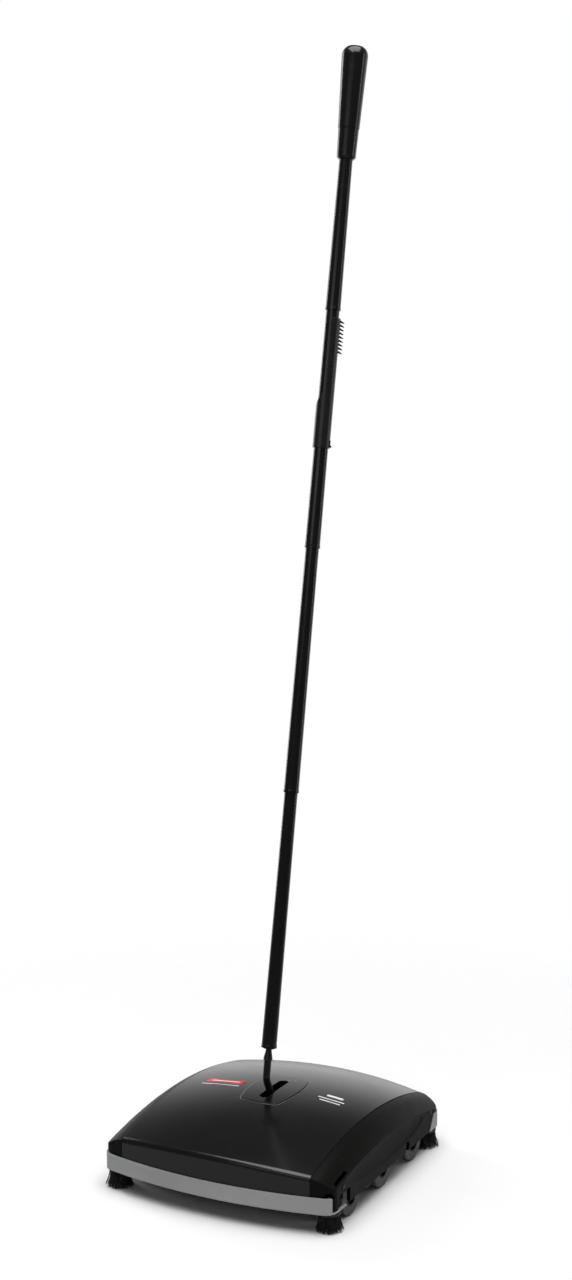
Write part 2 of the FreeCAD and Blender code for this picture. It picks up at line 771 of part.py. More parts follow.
def make_base_frame():
    """Frame that carries wheels, rotors, pans, corner brushes, handle pivot and covers."""
    solids = []
    holes = []
    arch = arch_radius + deck_high - dim.cover_height
    reach = half_depth - 20
    front = arch_axis_height + root(arch * arch - (reach + apex) * (reach + apex))
    rear = arch_axis_height + root(arch * arch - (reach - apex) * (reach - apex))
    for name, side in SIDES.items():
        sketch = flat_sketch(f"wall_{name}_outline", "yz", [
            (-reach, dim.frame_low),
            (reach, dim.frame_low),
            (reach, rear, arch, 1),
            (-reach, front),
        ], side * wall_inside)
        solids.append(extruded(f"wall_{name}", sketch, X_AXIS * side, dim.frame_wall))
        across = sorted((side * wall_inside, side * wall_outside), key=lambda s: s.value)
        solids.append(box(f"wall_lug_{name}", across,
                          (-dim.wheel_pitch - 9, dim.wheel_pitch + 9),
                          (dim.lug_low, dim.frame_low + 5)))
        wide = (across[0] - 1, across[1] + 1)
        for end, sense in ENDS.items():
            holes.append(cylinder(f"bush_hole_{name}_{end}", "x", 5 + dim.press_gap,
                                  (sense * rotor_back, dim.rotor_height), wide[0], wide[1]))
            holes.append(cylinder(f"pin_hole_{name}_{end}", "x", dim.pan_pin_radius + dim.fit_gap,
                                  (sense * pan_pivot_back, dim.pan_pivot_height),
                                  wide[0], wide[1]))
            pod_x = sorted((side * wall_inside, side * pod_far_x), key=lambda s: s.value)
            pod_y = sorted((sense * (pod_far_y - dim.pod_depth), sense * pod_far_y),
                           key=lambda s: s.value)
            solids.append(box(f"pod_{name}_{end}", pod_x, pod_y, (dim.pod_low, pod_high)))
            holes.append(cylinder(f"corner_hole_{name}_{end}", "z",
                                  dim.corner_pin_radius + dim.press_gap,
                                  (side * corner_x, sense * corner_y),
                                  dim.pod_low - 1, pod_high + 1))
        for station in (-1, 0, 1):
            holes.append(cylinder(f"axle_hole_{name}_{station + 1}", "x",
                                  dim.axle_radius + dim.press_gap,
                                  (station * dim.wheel_pitch, dim.wheel_radius),
                                  wide[0], wide[1]))
        cheek_x = sorted((side * dim.cheek_inside, side * (dim.cheek_inside + dim.cheek_thick)),
                         key=lambda s: s.value)
        cheek_y = (dim.pivot_back - dim.cheek_radius, dim.pivot_back + dim.cheek_radius)
        solids.append(box(f"cheek_{name}", cheek_x, cheek_y, (pivot_height, deck_high)))
        solids.append(cylinder(f"cheek_boss_{name}", "x", dim.cheek_radius,
                               (dim.pivot_back, pivot_height), cheek_x[0], cheek_x[1]))
        holes.append(cylinder(f"cheek_hole_{name}", "x", dim.pivot_pin_radius + dim.press_gap,
                              (dim.pivot_back, pivot_height), cheek_x[0] - 1, cheek_x[1] + 1))
    solids.append(box("deck", (-wall_inside - 1, wall_inside + 1),
                      (-dim.deck_half_depth, dim.deck_half_depth), (deck_low, deck_high)))
    window = ((-dim.cheek_inside, dim.cheek_inside), (-dim.deck_window_half, dim.deck_window_half))
    holes.append(box("deck_window", window[0], window[1], (deck_low - 1, deck_high + 1)))
    for number, x in enumerate(cover_screw_places()):
        holes.append(cylinder(f"deck_screw_hole_{number}", "z", dim.screw_hole_radius, (x, 0),
                              deck_low - 1, deck_high + 1))
    for number, (x, y) in enumerate(cap_screw_places()):
        holes.append(cylinder(f"pod_screw_hole_{number}", "z", dim.screw_hole_radius, (x, y),
                              dim.pod_low - 1, pod_high + 1))
    whole = fuse("frame_whole", solids)
    limit = plan_block("frame_limit", flank_inside - 0.3, cover_inset + dim.shell_wall + 0.4, 0,
                       above_cover)
    trimmed = common("frame_trimmed", [whole, limit])
    return part("base_frame", cut("frame_body", trimmed, holes))


def make_screws(name, places, head_low, length):
    """Equal slotted screws driven upward, each its own solid."""
    screws = []
    for number, (x, y) in enumerate(places):
        shank = cylinder(f"{name}_shank_{number}", "z", dim.screw_radius, (x, y), head_low + 1.6,
                         head_low + length)
        head = cone(f"{name}_head_{number}", "z", (2.2, 2.8), (x, y), head_low, head_low + 1.6)
        slot = box(f"{name}_slot_{number}", (x - 4, x + 4),
                   (as_size(y) - 0.4, as_size(y) + 0.4), (head_low - 1, head_low + 0.8))
        screws.append(cut(f"{name}_screw_{number}", fuse(f"{name}_blank_{number}", [shank, head]),
                          [slot]))
    return part(name, fuse(f"{name}_set", screws))


# ---------------------------------------------------------------- wheels and rotors

def make_wheels():
    """Six wheels, three a side, each a hub with a tyre on a stub axle."""
    axles = []
    caps = []
    for side_name, side in SIDES.items():
        for station_name, station in (("front", -1), ("middle", 0), ("rear", 1)):
            tag = f"{station_name}_{side_name}"
            centre = (station * dim.wheel_pitch, dim.wheel_radius)
            start = side * wheel_inside
            bore = dim.axle_radius + dim.fit_gap
            rim = dim.tyre_inner_radius
            width = dim.wheel_width
            part(f"wheel_hub_{tag}", turned(f"hub_{tag}", [
                (bore, 0), (rim - 0.05, 0), (rim - 0.05, width), (rim - 1.6, width),
                (rim - 1.6, width - 3), (5.2, width - 3), (5.2, width - 0.6),
                (bore, width - 0.6),
            ], "x", centre, start, side < 0))
            tyre = dim.wheel_radius
            part(f"tyre_{tag}", turned(f"ring_{tag}", [
                (rim, 0.2), (tyre - 1.2, 0.2), (tyre, 1.2), (tyre, width - 1.2),
                (tyre - 1.2, width - 0.2), (rim, width - 0.2),
            ], "x", centre, start, side < 0))
            inner = side * (wall_inside - 1.4)
            axles.append(turned(f"axle_{tag}", [
                (0, 0), (4, 0), (4, 1.3), (dim.axle_radius, 1.3),
                (dim.axle_radius, wheel_outside - wall_inside + 1.8 + 1.4),
                (0, wheel_outside - wall_inside + 1.8 + 1.4),
            ], "x", centre, inner, side < 0))
            caps.append(turned(f"cap_{tag}", [
                (dim.axle_radius + dim.press_gap, 0), (4.2, 0), (4.2, 0.8),
                (dim.axle_radius + dim.press_gap, 1.5),
            ], "x", centre, side * (wheel_outside + 0.1), side < 0))
    part("wheel_axles", fuse("axle_set", axles))
    part("wheel_retainers", fuse("retainer_set", caps))


def make_rotor(name, sense, strip, strip_name):
    """A rotor brush: shaft, slotted core, strips along the core and two friction pulleys."""
    back = sense * rotor_back
    centre = (back, dim.rotor_height)
    half = rotor_half_length
    outer_end = wheel_outside + 0.8
    part(f"{name}_shaft", cylinder(f"{name}_rod", "x", dim.shaft_radius, centre, -outer_end,
                                   outer_end))
    core = cylinder(f"{name}_blank", "x", dim.rotor_core_radius, centre, -half, half)
    bore = cylinder(f"{name}_bore", "x", dim.shaft_radius + dim.press_gap, centre, -half - 1,
                    half + 1)
    slots = []
    strips = []
    for number in range(STRIP_COUNT):
        turn = 360 / STRIP_COUNT * number
        slots.append(radial_strip(f"{name}_slot_{number}", back, turn,
                                  strip / 2 + dim.press_gap, dim.strip_root_radius - 0.1,
                                  dim.rotor_core_radius + 2, half + 1))
        strips.append(radial_strip(f"{name}_strip_{number}", back, turn, strip / 2,
                                   dim.strip_root_radius, rotor_tip_radius, half - 1))
    part(f"{name}_core", cut(f"{name}_core_body", core, [bore] + slots))
    part(f"{name}_{strip_name}", fuse(f"{name}_strip_set", strips))
    pulleys = []
    for side_name, side in SIDES.items():
        pulleys.append(turned(f"{name}_pulley_{side_name}", [
            (dim.shaft_radius + dim.press_gap, 0), (pulley_radius, 0),
            (pulley_radius, dim.wheel_width), (pulley_radius - 2.5, dim.wheel_width),
            (pulley_radius - 2.5, 4), (6, 4), (6, dim.wheel_width),
            (dim.shaft_radius + dim.press_gap, dim.wheel_width),
        ], "x", centre, side * wheel_inside, side < 0))
    part(f"{name}_pulleys", fuse(f"{name}_pulley_set", pulleys))


def radial_strip(name, back, turn, half_thick, low, high, half_length):
    """A flat strip standing out from a rotor's axis at a turn about it."""
    obj = doc.addObject("Part::Box", name)
    low = as_size(low)
    bind(obj, {"Length": half_length * 2, "Width": half_thick * 2, "Height": high - low})
    angle = math.radians(turn)
    across = -math.sin(angle)
    up = math.cos(angle)
    obj.Placement.Rotation = FreeCAD.Rotation(X_AXIS, turn)
    return moved(obj, -half_length, back - half_thick * up + low * across,
                 dim.rotor_height - half_thick * math.sin(angle) + low * up)


def make_bushes():
    bushes = []
    for side_name, side in SIDES.items():
        for end, sense in ENDS.items():
            bore = dim.shaft_radius + dim.fit_gap
            bushes.append(turned(f"bush_{side_name}_{end}", [
                (bore, 0), (6.6, 0), (6.6, 1.2), (5, 1.2), (5, dim.frame_wall + 1.8),
                (bore, dim.frame_wall + 1.8),
            ], "x", (sense * rotor_back, dim.rotor_height), side * (wall_inside - 1.3), side < 0))
    part("rotor_bushes", fuse("bush_set", bushes))


# ---------------------------------------------------------------- dust pans

def make_pan(end, sense):
    """A dust pan that hangs on two pins; its thumb lever shows in one flank."""
    pivot = (sense * pan_pivot_back, dim.pan_pivot_height)
    toe_y = pivot[0] + sense * dim.pan_radius * 0.94
    toe_z = pivot[1] - dim.pan_radius * 0.34
    inner_radius = dim.pan_radius - dim.pan_wall
    inner_toe_y = pivot[0] + sense * inner_radius * 0.94
    inner_toe_z = pivot[1] - inner_radius * 0.34
    lip = sense * pan_lip_back
    lip_height = pivot[1] - dim.pan_lip_drop
    half = pan_half_width
    tray = flat_sketch(f"{end}_tray_section", "yz", [
        (toe_y, toe_z, dim.pan_radius, -sense),
        (pivot[0], pivot[1] - dim.pan_radius),
        (lip, lip_height),
        (lip, lip_height + dim.pan_wall),
        (pivot[0], pivot[1] - inner_radius, inner_radius, sense),
        (inner_toe_y, inner_toe_z),
    ], -half)
    solids = [extruded(f"{end}_tray", tray, X_AXIS, half * 2)]
    for side_name, side in SIDES.items():
        plate = flat_sketch(f"{end}_{side_name}_plate_outline", "yz", [
            (toe_y, toe_z, dim.pan_radius, -sense),
            (pivot[0], pivot[1] - dim.pan_radius),
            (lip, lip_height),
            (lip, lip_height + 6),
            (pivot[0] - sense * 5.5, pivot[1] + 1),
            (pivot[0] - sense * 3, pivot[1] + 5.5),
            (pivot[0] + sense * 3, pivot[1] + 5.5),
        ], side * half)
        solids.append(extruded(f"{end}_{side_name}_plate", plate, X_AXIS * -side, dim.pan_wall))
    bore = cylinder(f"{end}_pan_bore", "x", dim.pan_pin_radius + dim.press_gap, pivot, -half - 1,
                    half + 1)
    part(f"{end}_dust_pan", cut(f"{end}_pan_body", fuse(f"{end}_pan_solid", solids), [bore]))

    pins = []
    for side_name, side in SIDES.items():
        ends = sorted((side * (half - 4), side * (flank + 0.5)), key=lambda s: s.value)
        pins.append(cylinder(f"{end}_pin_{side_name}", "x", dim.pan_pin_radius, pivot, ends[0],
                             ends[1]))
    part(f"{end}_pan_pins", fuse(f"{end}_pin_set", pins))

    side = -sense
    thin = sorted((side * (flank_inside + 0.3), side * (flank_inside + 1.7)), key=lambda s: s.value)
    thick = sorted((side * (flank_inside + 0.3), side * (flank - 0.8)), key=lambda s: s.value)
    rest_side = -sense * 4.5
    boss = cylinder(f"{end}_lever_boss", "x", 4.4, pivot, thin[0], thin[1])
    arm = box(f"{end}_lever_arm", thin,
              (pivot[0] + rest_side - 3.4, pivot[0] + rest_side + 3.4),
              (pivot[1] - dim.lever_reach + 1, pivot[1]))
    pad = box(f"{end}_lever_pad", thick,
              (pivot[0] + rest_side - 3.8, pivot[0] + rest_side + 3.8),
              (pivot[1] - dim.lever_reach + 0.5, pivot[1] - dim.lever_reach + 6.5))
    lever_bore = cylinder(f"{end}_lever_bore", "x", dim.pan_pin_radius + dim.press_gap, pivot,
                          thin[0] - 1, thin[1] + 1)
    lever = cut(f"{end}_lever_body", fuse(f"{end}_lever_solid", [boss, arm, pad]), [lever_bore])
    part(f"{end}_pan_lever", lever)


def make_pan_springs():
    """A small coil of three close turns on each pan pin, between the pan and the frame."""
    wire = 0.45
    coils = []
    for side_name, side in SIDES.items():
        for end, sense in ENDS.items():
            for number in range(3):
                ring = doc.addObject("Part::Torus", f"spring_{side_name}_{end}_{number}")
                bind(ring, {"Radius1": dim.pan_pin_radius + 0.75, "Radius2": wire})
                along(ring, "x", (sense * pan_pivot_back, dim.pan_pivot_height),
                      side * (pan_half_width + 1 + number * 0.88))
                coils.append(ring)
    part("pan_springs", fuse("spring_set", coils))


# ---------------------------------------------------------------- corner brushes

def make_corner_brushes():
    pins = []
    for side_name, side in SIDES.items():
        for end, sense in ENDS.items():
            tag = f"{end}_{side_name}"
            centre = (side * corner_x, sense * corner_y)
            low = dim.corner_disc_low
            high = dim.corner_disc_high
            bore = dim.corner_pin_radius + dim.fit_gap
            part(f"corner_hub_{tag}", turned(f"corner_turned_{tag}", [
                (bore, low), (dim.corner_disc_radius, low), (dim.corner_disc_radius, high),
                (5, high), (5, dim.pod_low - 0.3), (bore, dim.pod_low - 0.3),
            ], "z", centre))
            part(f"corner_bristles_{tag}", turned(f"corner_tuft_{tag}", [
                (5.5, 0), (dim.corner_tip_radius, 0), (dim.corner_disc_radius, low - 0.02),
                (4.4, low - 0.02),
            ], "z", centre))
            pins.append(turned(f"corner_pin_{tag}", [
                (0, low - 1.6), (3.6, low - 1.6), (3.6, low - 0.2),
                (dim.corner_pin_radius, low - 0.2), (dim.corner_pin_radius, pod_high + 1),
                (0, pod_high + 1),
            ], "z", centre))
    part("corner_brush_pins", fuse("corner_pin_set", pins))


# ---------------------------------------------------------------- handle

def make_pivot():
    """Cross pin through the cheeks and the flat friction spring under the rod's barrel."""
    outer = dim.cheek_inside + dim.cheek_thick + 0.6
    part("handle_pivot_pin", cylinder("pivot_pin", "x", dim.pivot_pin_radius,
                                      (dim.pivot_back, pivot_height), -outer, outer))
    low = pivot_height - 7 - 0.75
    high = pivot_height - 5.5 - 0.3
    side = dim.cheek_inside + dim.cheek_thick
    spring = padded("friction_spring_body", "XZ_Plane", [
        (-side, low), (-6.6, low), (-4, high - 0.7), (4, high - 0.7), (6.6, low), (side, low),
        (side, low + 0.7), (6.4, low + 0.7), (4, high), (-4, high), (-6.4, low + 0.7),
        (-side, low + 0.7),
    ], 6, midplane=True)
    moved(spring, y=dim.pivot_back)
    part("friction_spring", spring)


def make_rod():
    """Cranked rod: barrel on the pivot pin, straight leg, bend, and neck in the first tube."""
    knee_angle = dim.rod_forward + dim.handle_lean
    half_angle = math.radians(knee_angle.value / 2)
    tangent = dim.rod_bend * Size(math.tan(half_angle), f"tan({knee_angle.text} / 2 * 1 deg)")
    foot = (dim.rod_knee * sine(knee_angle), -(dim.rod_knee * cosine(knee_angle)))
    lower = (tangent * sine(knee_angle), -(tangent * cosine(knee_angle)))
    spine = doc.addObject("Sketcher::SketchObject", "rod_path")
    spine.Placement.Rotation = FreeCAD.Rotation(0.5, 0.5, 0.5, 0.5)
    path = [foot, lower, (as_size(0), tangent), (as_size(0), dim.ferrule_start)]
    points = [FreeCAD.Vector(y.value, z.value, 0) for y, z in path]
    centre = FreeCAD.Vector(dim.rod_bend.value, tangent.value, 0)
    middle = centre + (points[1] + points[2] - centre * 2).normalize() * dim.rod_bend.value
    spine.addGeometry(Part.LineSegment(points[0], points[1]), False)
    spine.addGeometry(Part.Arc(points[1], middle, points[2]), False)
    spine.addGeometry(Part.LineSegment(points[2], points[3]), False)
    arc_start = 1 if spine.getPoint(1, 1).distanceToPoint(points[1]) < 1e-6 else 2
    joints = [(0, 2, 1, arc_start), (1, 3 - arc_start, 2, 1)]
    for joint in joints:
        spine.addConstraint(Sketcher.Constraint("Coincident", *joint))
    ends = [(0, 1, foot), (0, 2, lower), (2, 1, path[2]), (2, 2, path[3])]
    for geometry, end, place in ends:
        for kind, size in (("DistanceX", place[0]), ("DistanceY", place[1])):
            added = spine.addConstraint(Sketcher.Constraint(kind, -1, 1, geometry, end, size.value))
            spine.setExpression(f"Constraints[{added}]", size.text)
    added = spine.addConstraint(Sketcher.Constraint("Radius", 1, dim.rod_bend.value))
    spine.setExpression(f"Constraints[{added}]", dim.rod_bend.text)

    circle = doc.addObject("Part::Circle", "rod_section")
    bind(circle, {"Radius": dim.rod_radius})
    circle.Placement.Rotation = FreeCAD.Rotation(X_AXIS, knee_angle.value)
    circle.setExpression("Placement.Rotation.Angle", f"{knee_angle.text} * 1 deg")
    moved(circle, 0, foot[0], foot[1])
    doc.recompute()
    sweep = doc.addObject("Part::Sweep", "rod_sweep")
    sweep.Sections = [circle]
    sweep.Spine = (spine, ["Edge1", "Edge2", "Edge3"])
    sweep.Solid = True

    neck = cylinder("rod_neck", "z", dim.rod_neck_radius, (0, 0), dim.ferrule_start - 1,
                    dim.tube_start + 45)
    barrel_half = dim.cheek_inside - 0.4
    barrel = cylinder("rod_barrel", "x", 5.5, foot, -barrel_half, barrel_half)
    bore = cylinder("rod_bore", "x", dim.pivot_pin_radius + dim.fit_gap, foot, -barrel_half - 1,
                    barrel_half + 1)
    whole = fuse("rod_whole", [sweep, neck, barrel])
    part("handle_rod", on_handle(cut("rod_body", whole, [bore])))

    start = dim.ferrule_start + 0.05
    part("rod_ferrule", on_handle(turned("ferrule", [
        (dim.rod_neck_radius + dim.press_gap, start), (4.4, start), (4.6, start + 1.6),
        (2.9, start + dim.ferrule_length),
        (dim.rod_neck_radius + dim.press_gap, start + dim.ferrule_length),
    ])))
    plug = dim.tube_start - 1.2
    bore_radius = dim.tube_radius - dim.tube_wall
    part("tube_plug", on_handle(turned("plug", [
        (dim.rod_neck_radius + dim.press_gap, plug), (5.2, plug), (bore_radius - 0.05, plug + 1.4),
        (bore_radius - 0.05, plug + 24), (dim.rod_neck_radius + dim.press_gap, plug + 24),
    ])))


def tube_stations():
    """Where each tube's foot is along the handle, and the end of the last exposed one."""
    stations = [dim.tube_start]
    for length in (dim.tube_one, dim.tube_two, dim.tube_three, dim.tube_four):
        stations.append(stations[-1] + length)
    return stations


def make_tubes():
    """Four tapered tubes; the narrow top of each pushes into the foot of the next."""
    stations = tube_stations()
    names = ("one", "two", "three", "four")
    for number, name in enumerate(names):
        foot = stations[number]
        head = stations[number + 1]
        inside = dim.tube_overlap * 2 if name == "four" else dim.tube_overlap
        bore = dim.tube_radius - dim.tube_wall
        part(f"handle_tube_{name}", on_handle(turned(f"tube_{name}", [
            (bore, foot), (dim.tube_radius + 0.3, foot), (dim.tube_radius + 0.3, foot + 2),
            (dim.tube_radius, foot + 3.5), (dim.tube_top_radius, head - 8),
            (dim.tube_top_radius, head + inside), (dim.tube_top_radius - dim.tube_wall, head + inside),
            (dim.tube_top_radius - dim.tube_wall, head - 8), (bore, foot + dim.tube_overlap + 3),
        ])))


def make_grip():
    """Ribbed grip with a domed top and a plain collar at its foot."""
    foot = tube_stations()[-1]
    bore = dim.tube_top_radius + 0.05
    top = foot + dim.grip_length
    shoulder = top - dim.grip_dome
    waist = foot + dim.grip_collar
    pitch = (shoulder - waist) / (RIB_COUNT + 0.5)
    blank = turned("grip_blank", [
        (bore, foot), (dim.grip_foot_radius - 1.6, foot),
        (dim.grip_foot_radius, foot + 2), (dim.grip_waist_radius - 0.45, waist - 1.2),
        (dim.grip_waist_radius, waist), (dim.grip_radius, shoulder, 10.5, 1),
        (dim.grip_radius - 5.5, top - 1.2, 24, 1), (1.5, top), (0, top),
        (0, foot + dim.tube_overlap * 2 + 1), (bore, foot + dim.tube_overlap * 2 + 1),
    ])
    grooves = []
    slope = (dim.grip_radius - dim.grip_waist_radius) / (shoulder - waist)
    for number in range(RIB_COUNT):
        along_ribs = pitch * (number + 0.5)
        groove = doc.addObject("Part::Torus", f"grip_groove_{number}")
        bind(groove, {"Radius1": dim.grip_waist_radius + slope * along_ribs + 0.35,
                      "Radius2": 1.05})
        moved(groove, z=waist + along_ribs)
        grooves.append(groove)
    part("handle_grip", on_handle(cut("grip_body", blank, grooves)))


def make_comb():
    """Clip-on cleaning comb: a sleeve open at the back, a half gutter above it, and teeth."""
    top = tube_stations()[3] - dim.comb_drop
    foot = top - dim.comb_length
    far = comb_radius + 4
    over = (foot - 1, top + 1)
    sleeve = cylinder("comb_blank", "z", comb_radius, (0, 0), foot, top)
    bore = cylinder("comb_bore", "z", comb_bore_radius, (0, 0), over[0], over[1])
    opening = box("comb_opening", (-far, far), (comb_radius * 0.52, far), over)
    shoulder = foot + dim.comb_sleeve
    middle = shoulder + dim.comb_sweep_height
    sweep = flat_sketch("comb_sweep_outline", "xz", [
        (-far, shoulder),
        (-comb_radius, shoulder, dim.comb_sweep_radius, -1),
        (comb_radius * -0.55, middle, dim.comb_sweep_radius, 1),
        (as_size(-1), middle + dim.comb_sweep_height),
        (as_size(0), top + 1),
        (-far, top + 1),
    ], -far)
    removed = extruded("comb_sweep", sweep, Y_AXIS, far * 2)
    shell = cut("comb_shell", sleeve, [bore, opening, removed])
    pieces = [shell]
    for number in range(TOOTH_COUNT):
        tooth = cone(f"comb_tooth_{number}", "z", (1.3, 0.5), (0, 0), 0, 4.6)
        tooth.Placement.Rotation = FreeCAD.Rotation(Y_AXIS, 112)
        moved(tooth, comb_bore_radius + 0.5, 0, top - 2.5 - number * dim.comb_tooth_pitch)
        pieces.append(tooth)
    comb = fuse("comb_whole", pieces)
    tab_start = comb_bore_radius + 0.3
    tab_sides = (as_size(-3), as_size(3))
    tab = fuse("comb_tab_whole", [
        box("comb_tab", (tab_start, comb_radius + 1.6), tab_sides, (foot + 1, foot + 3)),
        box("comb_tab_root", (tab_start, comb_radius + 0.4), tab_sides, (foot + 1, foot + 8)),
    ])
    for piece in (comb, tab):
        piece.Placement.Rotation = FreeCAD.Rotation(Z_AXIS, dim.comb_turn.value)
    part("cleaning_comb", on_handle(fuse("comb_turned", [comb, tab])))


def check_and_export():
    """Stop if any object failed or any sub-part is not a sound solid, then write them all."""
    doc.recompute()
    for obj in doc.Objects:
        if "Invalid" in obj.State or "Error" in obj.State:
            raise RuntimeError(f"{obj.Name} ({obj.Label}) failed: {obj.State}")
    for obj in PARTS:
        shape = obj.Shape
        if shape.isNull() or not shape.isValid() or not shape.Solids:
            raise RuntimeError(f"{obj.Label} is not a sound solid")
    for obj in PARTS:
        obj.Shape.exportStep(f"parts/{obj.Label}.step")


make_cover()
make_end_caps()
for end_name, end_sense in ENDS.items():
    make_bumper(f"{end_name}_bumper", end_sense)
make_slot_plates()
make_base_frame()
make_screws("cap_screws", cap_screw_places(), dim.pod_low - 1.6, 13)
make_screws("cover_screws", [(x, 0) for x in cover_screw_places()], deck_low - 1.6, 9)
make_wheels()
make_rotor("front_rotor", -1, dim.bristle_strip, "bristles")
make_rotor("rear_rotor", 1, dim.blade_strip, "blades")
make_bushes()
for end_name, end_sense in ENDS.items():
    make_pan(end_name, end_sense)
make_pan_springs()
make_corner_brushes()
make_pivot()
make_rod()
make_tubes()
make_grip()
make_comb()
check_and_export()
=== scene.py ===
import json
import math
import random

import bpy
from mathutils import Matrix, Vector
from mathutils.bvhtree import BVHTree
from mathutils.geometry import convex_hull_2d

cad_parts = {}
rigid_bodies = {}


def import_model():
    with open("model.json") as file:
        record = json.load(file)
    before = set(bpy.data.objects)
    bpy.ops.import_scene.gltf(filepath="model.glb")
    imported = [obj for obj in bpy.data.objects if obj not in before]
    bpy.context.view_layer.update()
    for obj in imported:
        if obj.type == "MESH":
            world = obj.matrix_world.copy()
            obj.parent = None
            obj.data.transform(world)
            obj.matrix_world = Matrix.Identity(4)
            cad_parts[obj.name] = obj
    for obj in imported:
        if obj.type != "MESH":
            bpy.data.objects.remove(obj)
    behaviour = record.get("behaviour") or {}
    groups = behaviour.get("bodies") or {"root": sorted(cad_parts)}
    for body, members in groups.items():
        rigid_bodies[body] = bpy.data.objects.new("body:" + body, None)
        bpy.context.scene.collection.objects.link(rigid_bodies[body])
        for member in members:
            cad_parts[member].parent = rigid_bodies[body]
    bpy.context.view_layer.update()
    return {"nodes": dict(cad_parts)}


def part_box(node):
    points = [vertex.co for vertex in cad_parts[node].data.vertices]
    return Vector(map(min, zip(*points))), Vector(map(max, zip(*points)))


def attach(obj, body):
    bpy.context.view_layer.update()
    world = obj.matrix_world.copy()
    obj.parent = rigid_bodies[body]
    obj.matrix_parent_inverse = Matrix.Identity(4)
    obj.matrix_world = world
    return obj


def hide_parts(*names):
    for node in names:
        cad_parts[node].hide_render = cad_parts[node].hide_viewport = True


# A carpet sweeper: materials, bristles, printed marks, painted shade and highlight strips round
# the slot plates, and small mouldings round the packed frame.  Metres.  +X is the sweeper's right,
# +Y its rear, +Z up.

for leftover in list(bpy.data.objects):
    bpy.data.objects.remove(leftover)
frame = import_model()
nodes = frame["nodes"]
scene = bpy.context.scene
MM = 0.001


# ------------------------------------------------------------------ camera and studio

def make_camera():
    data = bpy.data.cameras.new("camera")
    data.lens = 64.7
    data.sensor_width = 36.0
    camera = bpy.data.objects.new("camera", data)
    camera.location = (1.0093, -1.9655, 0.9491)
    camera.rotation_euler = (math.radians(79.59), 0.0, math.radians(26.91))
    scene.collection.objects.link(camera)
    scene.camera = camera


def area_light(name, place, target, size, power):
    """A soft box that shines at a target and isn't seen by the camera itself."""
    data = bpy.data.lights.new(name, "AREA")
    data.shape = "RECTANGLE"
    data.size, data.size_y = size
    data.energy = power
    light = bpy.data.objects.new(name, data)
    light.location = place
    aim = Vector(target) - Vector(place)
    light.rotation_euler = aim.to_track_quat("-Z", "Y").to_euler()
    light.visible_camera = False
    scene.collection.objects.link(light)


def socket(value, links, target):
    """Put a number, a colour or another node's output on a socket."""
    if isinstance(value, bpy.types.NodeSocket):
        links.new(value, target)
    else:
        target.default_value = value


class Nodes:
    """Short calls for building one node tree."""

    def __init__(self, tree):
        self.tree = tree
        tree.nodes.clear()

    def add(self, kind, inputs=None, **settings):
        node = self.tree.nodes.new(kind)
        for name, value in settings.items():
            setattr(node, name, value)
        for key, value in (inputs or {}).items():
            socket(value, self.tree.links, node.inputs[key])
        return node

    def math(self, operation, first, second):
        return self.add("ShaderNodeMath", {0: first, 1: second}, operation=operation).outputs[0]

    def ranged(self, value, low, high, to_low=0.0, to_high=1.0, smooth=False):
        node = self.add("ShaderNodeMapRange", {"Value": value, "From Min": low, "From Max": high,
                                               "To Min": to_low, "To Max": to_high})
        if smooth:
            node.interpolation_type = "SMOOTHSTEP"
        return node.outputs["Result"]

    def mix(self, factor, first, second):
        node = self.add("ShaderNodeMix", data_type="RGBA")
        socket(factor, self.tree.links, node.inputs["Factor"])
        socket(first, self.tree.links, node.inputs[6])
        socket(second, self.tree.links, node.inputs[7])
        return node.outputs[2]

    def noise(self, vector, scale, detail=3.0, rough=0.5):
        return self.add("ShaderNodeTexNoise", {"Vector": vector, "Scale": scale, "Detail": detail,
                                               "Roughness": rough}).outputs["Fac"]

    def object_place(self, stretch=(1.0, 1.0, 1.0)):
        place = self.add("ShaderNodeTexCoord").outputs["Object"]
        return self.add("ShaderNodeMapping", {"Vector": place, "Scale": stretch}).outputs[0]


def make_world():
    """White to the eye, with a soft glow low behind the object and a dim room elsewhere."""
    world = bpy.data.worlds.new("studio")
    scene.world = world
    world.use_nodes = True
    n = Nodes(world.node_tree)
    toward = n.add("ShaderNodeTexCoord").outputs["Generated"]
    way = n.add("ShaderNodeSeparateXYZ", {"Vector": toward})
    back = n.add("ShaderNodeVectorMath", {0: toward, 1: (-0.30, 0.95, 0.0)},
                 operation="DOT_PRODUCT")
    low_glow = n.ranged(way.outputs["Z"], 0.05, 0.62, 1.0, 0.0, True)
    behind = n.ranged(back.outputs["Value"], 0.05, 0.95, 0.0, 1.0, True)
    glow = n.math("MULTIPLY", low_glow, behind)
    level = n.math("ADD", n.math("MULTIPLY", glow, 0.95), 0.10)
    room = n.add("ShaderNodeBackground", {"Strength": level, "Color": (1.0, 1.0, 1.0, 1.0)})
    seen = n.add("ShaderNodeBackground", {"Strength": 1.0, "Color": (1.0, 1.0, 1.0, 1.0)})
    eye = n.add("ShaderNodeLightPath").outputs["Is Camera Ray"]
    mixed = n.add("ShaderNodeMixShader", {0: eye, 1: room.outputs[0], 2: seen.outputs[0]})
    n.add("ShaderNodeOutputWorld", {"Surface": mixed.outputs[0]})


